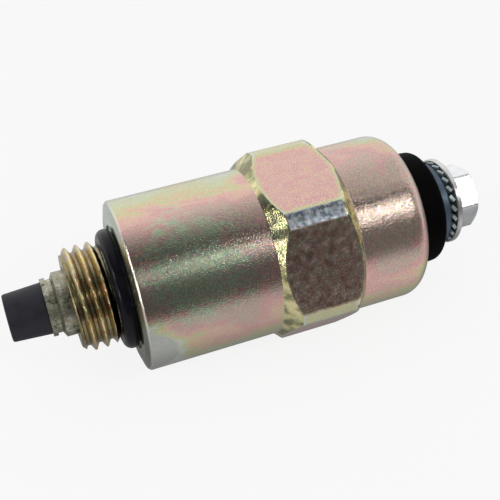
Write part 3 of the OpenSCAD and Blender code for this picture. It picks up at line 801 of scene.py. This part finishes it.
def build_world():
    """White for the camera and for reflections, and a softer level as light."""
    world = bpy.data.worlds.new("studio")
    bpy.context.scene.world = world
    world.use_nodes = True
    tree = world.node_tree
    tree.nodes.clear()
    path = tree.nodes.new("ShaderNodeLightPath").outputs
    seen = path["Is Camera Ray"]
    for name in ("Is Glossy Ray", "Is Transmission Ray"):
        both = tree.nodes.new("ShaderNodeMath")
        both.operation = "MAXIMUM"
        tree.links.new(seen, both.inputs[0])
        tree.links.new(path[name], both.inputs[1])
        seen = both.outputs[0]
    level = tree.nodes.new("ShaderNodeMapRange")
    tree.links.new(seen, level.inputs[0])
    level.inputs[3].default_value = WORLD_AS_LIGHT
    level.inputs[4].default_value = 1.0
    light = tree.nodes.new("ShaderNodeBackground")
    light.inputs["Color"].default_value = (1, 1, 1, 1)
    tree.links.new(level.outputs[0], light.inputs["Strength"])
    out = tree.nodes.new("ShaderNodeOutputWorld")
    tree.links.new(light.outputs[0], out.inputs[0])


def floor_finish():
    """Plain white paper, with the object's shadow on it."""
    f = Finish("floor_paper")
    path = f.add("ShaderNodeLightPath").outputs
    seen = f.math("MAXIMUM", path["Is Camera Ray"], path["Is Transmission Ray"])
    seen = f.math("MAXIMUM", seen, path["Is Glossy Ray"])
    paper = f.add("ShaderNodeBsdfDiffuse", {"Color": (PAPER, PAPER, PAPER, 1)}).outputs[0]
    glow = f.add("ShaderNodeEmission", {"Strength": 1.0}).outputs[0]
    return f.finished(f.add("ShaderNodeMixShader", {0: f.product(seen, PAPER_GLOW), 1: paper, 2: glow}))


def flat_sheet(name, width, height, material):
    mesh = bpy.data.meshes.new(name)
    w, h = width / 2 * MM, height / 2 * MM
    mesh.from_pydata([(-w, -h, 0), (w, -h, 0), (w, h, 0), (-w, h, 0)], [], [(0, 1, 2, 3)])
    mesh.materials.append(material)
    sheet = bpy.data.objects.new(name, mesh)
    bpy.context.scene.collection.objects.link(sheet)
    return sheet


def build_floor():
    floor = flat_sheet("floor", 6000, 6000, floor_finish())
    floor.location = (0, 0, -HEX_FLAT * MM)


def build_card(name, azimuth, elevation, distance, width, height, stops, x=MIDDLE_X, across=False):
    """A card that shows only in reflections, as the unlit sides of a studio do.

    Its shade follows the stops from its lower edge to its upper one, or across it. It faces the axis at x.
    """
    f = Finish(name)
    on_card = f.add("ShaderNodeTexCoord").outputs["Generated"]
    share = f.add("ShaderNodeSeparateXYZ", {0: on_card}).outputs[0 if across else 1]
    shade = f.ramp(share, [(at, (level, level, level)) for at, level in stops])
    glow = f.add("ShaderNodeEmission", {"Color": shade, "Strength": 1.0})
    card = flat_sheet(name, width, height, f.finished(glow))
    aim(card, Vector((x, 0, 0)) + distance * direction(azimuth, elevation), (x, 0, 0))
    card.visible_camera = False
    card.visible_diffuse = False
    card.visible_shadow = False
    card.visible_transmission = False


def contact_shade(height):
    """Painted shadow on the card on the floor: dark beside the object, and pale further out."""
    inner, outer = DARK_WITHIN / height, PALE_BEYOND / height
    dark, pale = 0.26, 0.6
    return [
        (0, pale), (0.5 - outer, pale), (0.5 - inner, dark),
        (0.5 + inner, dark), (0.5 + outer, pale), (1, pale),
    ]


def build_cards():
    """Cards round the object: dark bands in front, a bright strip over them, two cards overhead, a card on
    the floor with the object's shadow painted on it, and a dark card on the left.
    """
    build_card("front_card", 0, 22.5, 130, 700, 132, [(0.54, 0.11), (0.61, 0.19)], across=True)
    strip = [(0.28, 0.15), (0.37, 0.5), (0.48, 0.85), (1, 0.9)]
    build_card("strip_card", 0, 55, 400, 600, 70, strip, 115, across=True)
    over_barrel = [(0, 0.97), (0.15, 0.85), (0.39, 0.42), (0.61, 0.09), (1, 0.07)]
    build_card("top_card", 180, 85, 400, 860, 560, over_barrel, -254.5)
    over_shell = [(0, 0.8), (0.3, 0.85), (0.64, 1), (0.7, 0.05), (1, 0.05)]
    build_card("side_card", 180, 85, 400, 700, 560, over_shell, 525.5)
    # Painted shadow: in reflections the floor is darker beside the object.
    build_card("shadow_card", 0, -89.9, HEX_FLAT - CARD_ABOVE_FLOOR, 500, 400, contact_shade(400))
    build_card("left_card", -88, 34, 420, 560, 322, [(0, 0.05), (1, 0.05)])


def build_lamp(name, azimuth, elevation, distance, width, height, watts):
    lamp = bpy.data.lights.new(name, "AREA")
    lamp.shape = "RECTANGLE"
    lamp.size = width * MM
    lamp.size_y = height * MM
    lamp.energy = watts
    obj = bpy.data.objects.new(name, lamp)
    bpy.context.scene.collection.objects.link(obj)
    middle = Vector((MIDDLE_X, 0, 0))
    aim(obj, middle + distance * direction(azimuth, elevation), middle)


def build_studio():
    build_world()
    build_floor()
    build_cards()
    build_lamp("key_lamp", 41, 48, 450, 120, 60, 0.28)
    build_lamp("upper_glint", -97, 19, 400, 40, 20, 0.11)
    build_lamp("lower_glint", -74, 6, 400, 40, 20, 0.11)
    build_lamp("fill_lamp", -60, 40, 600, 500, 400, 0.6)
    bpy.context.scene.view_settings.view_transform = "Standard"


build_pieces()
build_studio()
build_camera()
